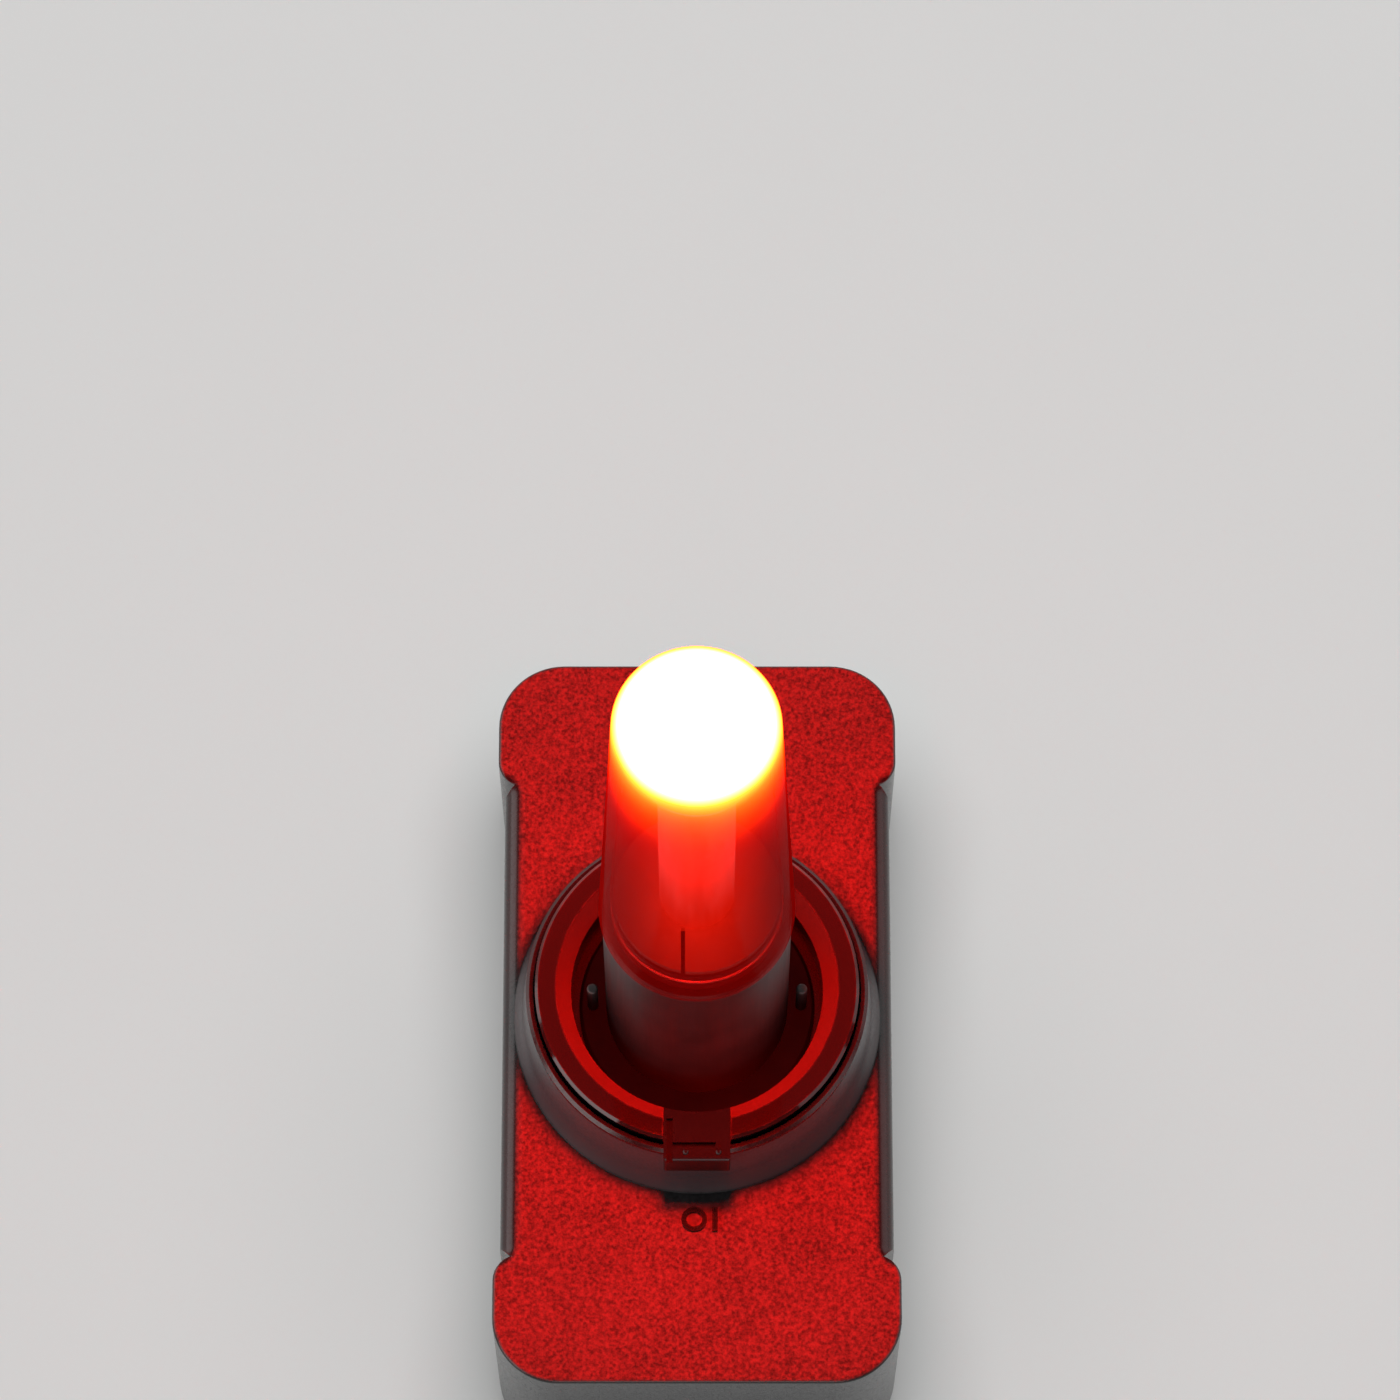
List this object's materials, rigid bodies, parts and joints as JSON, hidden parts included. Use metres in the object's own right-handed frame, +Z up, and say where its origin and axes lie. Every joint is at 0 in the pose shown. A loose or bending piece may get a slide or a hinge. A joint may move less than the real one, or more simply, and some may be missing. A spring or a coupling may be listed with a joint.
{
  "type": "led safety flare",
  "caption": "Upright battery safety flare: a flat notched body with a twist collar switch, a black mast and a red lens tube with a lit head.",
  "frame": {"origin": "middle of the rectangle the flare covers, at the underside of its feet", "axes": "+Z up along the mast, +Y towards the rear of the body, -Y towards the thumb tab and the marks, +X across the body's width"},
  "size_m": [0.0364, 0.0678, 0.1038],
  "materials": {
    "shell_plastic": "fine grained moulded",
    "collar_plastic": "satin moulded",
    "mast_plastic": "semi-gloss moulded",
    "inner_plastic": "moulded",
    "seal_rubber": "satin",
    "foot_rubber": "matte",
    "steel": "stainless, satin",
    "nickel_strip": "nickel plated",
    "magnet": "nickel plated",
    "cell_jacket": "plain metal jacket",
    "circuit_green": "solder mask",
    "lamp_board": "white solder mask",
    "post_aluminium": "bright drawn tube",
    "emitter": "clear dome on a white package, lit",
    "diffuser_red": "frosted red, lit from inside",
    "lens_red": "transparent red, polished",
    "wire_sleeve": "insulated wire"
  },
  "bodies": {
    "base": {"upper_shell": "shell_plastic", "lower_shell": "shell_plastic", "shell_gasket": "seal_rubber", "shell_screws": "steel", "rubber_feet": "foot_rubber", "battery_tray": "inner_plastic", "cell_left": "cell_jacket", "cell_right": "cell_jacket", "contact_plates": "nickel_strip", "bridge_plate": "nickel_strip", "contact_springs": "steel", "battery_wires": "wire_sleeve", "door_pin": "steel", "circuit_board": "circuit_green", "board_screws": "steel", "driver_chip": "inner_plastic", "inductor": "inner_plastic", "hall_sensor": "inner_plastic", "collar_retainer": "steel", "collar_o_ring": "seal_rubber", "detent_ball": "steel", "detent_spring": "steel", "mast": "mast_plastic", "mast_gasket": "seal_rubber", "mast_screws": "steel", "mast_dowels": "steel", "wire_grommet": "seal_rubber", "lens": "lens_red", "lens_o_ring": "seal_rubber", "led_post": "post_aluminium", "led_board": "lamp_board", "led_emitters": "emitter", "diffuser": "diffuser_red", "led_wires": "wire_sleeve"},
    "twist_collar": {"collar": "collar_plastic", "thumb_tab": "collar_plastic", "collar_magnet": "magnet"},
    "door": {"battery_door": "shell_plastic", "door_gasket": "seal_rubber"},
    "door_lock": {"lock_screw": "steel"}
  },
  "joints": [
    {"name": "collar_twist", "type": "hinge", "parent": "base", "child": "twist_collar", "pos_m": [0, 0, 0.0328], "axis": [0, 0, 1], "range_deg": [-45, 45]},
    {"name": "door_hinge", "type": "hinge", "parent": "base", "child": "door", "pos_m": [0, -0.02615, 0.002], "axis": [1, 0, 0], "range_deg": [-90, 0]},
    {"name": "lock_turn", "type": "hinge", "parent": "door", "child": "door_lock", "pos_m": [0, 0.0242, 0.002], "axis": [0, 0, 1], "range_deg": [0, 90]}
  ]
}
